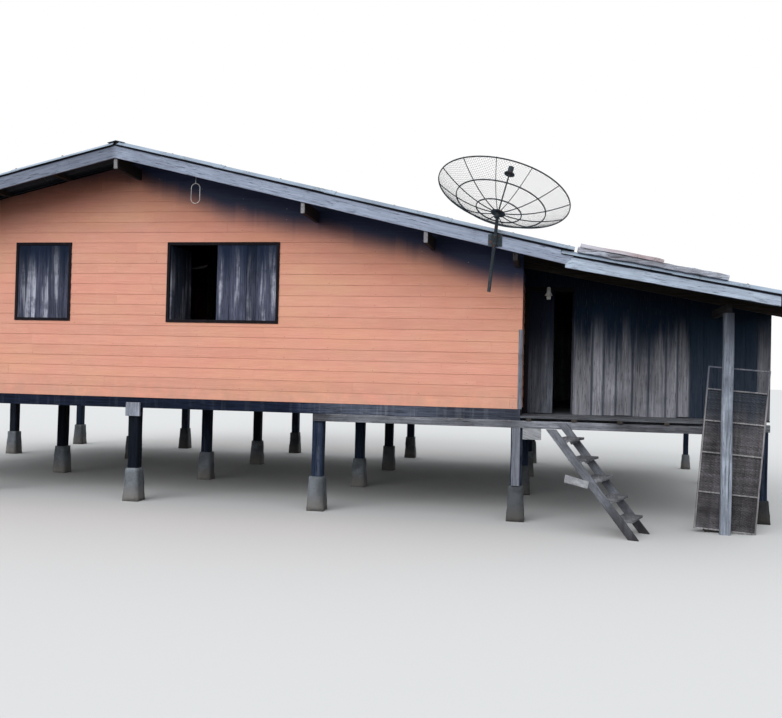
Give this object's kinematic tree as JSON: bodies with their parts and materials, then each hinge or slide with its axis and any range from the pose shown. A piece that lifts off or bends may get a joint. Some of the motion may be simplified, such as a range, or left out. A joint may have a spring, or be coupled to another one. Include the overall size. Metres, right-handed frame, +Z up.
{
  "type": "stilt house",
  "caption": "Timber house on posts with a low gabled roof, boarded walls, shuttered windows, a recessed side porch with a stair, and a mesh dish on the gable.",
  "frame": {"origin": "on the ground under the middle front post, in the plane of the front wall's face", "axes": "+X along the gable front towards the porch, +Y into the depth of the house, +Z up"},
  "size_m": [14.633, 10.3959, 4.8553],
  "materials": {
    "orange_boards": "thin orange paint on sawn boards, worn and streaked",
    "grey_timber": "bare sawn timber, weathered grey",
    "dark_timber": "bare timber, darkened by age",
    "brown_timber": "bare sawn timber, kept dry",
    "pale_timber": "newer sawn timber, bleached",
    "concrete": "cast by hand, stained by soil",
    "roof_sheet": "fibre cement, pale bluish grey, stained in patches",
    "woven_mat": "woven from split cane, weathered",
    "dark_steel": "dark paint on steel and wire mesh",
    "lamp_shade": "white enamel and glass",
    "wire": "dull bent wire"
  },
  "bodies": {
    "root": {"footings": "concrete", "floor_posts": "dark_timber", "porch_post": "pale_timber", "pale_strips": "pale_timber", "floor_beams": "dark_timber", "side_beams": "dark_timber", "low_beam": "pale_timber", "lean_beams": "grey_timber", "floor_joists": "brown_timber", "main_floor": "brown_timber", "lean_floor": "grey_timber", "front_wall": "orange_boards", "rear_wall": "orange_boards", "side_walls": "orange_boards", "porch_wall": "grey_timber", "door_head_wall": "grey_timber", "lean_side_wall": "grey_timber", "lean_rear_wall": "grey_timber", "window_frames": "dark_timber", "shutters": "grey_timber", "door_frame": "dark_timber", "door_leaves": "grey_timber", "columns": "brown_timber", "collar_ties": "brown_timber", "wall_plates": "grey_timber", "long_beams": "grey_timber", "rafters": "brown_timber", "lean_rafters": "brown_timber", "purlins": "brown_timber", "barge_boards": "grey_timber", "lean_barge_boards": "pale_timber", "main_roof": "roof_sheet", "lean_roof": "roof_sheet", "ridge_cap": "roof_sheet", "old_timbers": "grey_timber", "loose_sheet": "roof_sheet", "stair_stringers": "grey_timber", "stair_treads": "pale_timber", "stair_cleats": "grey_timber", "screen_mat": "woven_mat", "screen_battens": "pale_timber", "dish_mast": "dark_steel", "mast_clamps": "dark_steel", "dish_frame": "dark_steel", "dish_feed": "dark_steel", "wall_lamp": "lamp_shade", "wire_loop": "wire"}
  },
  "joints": []
}
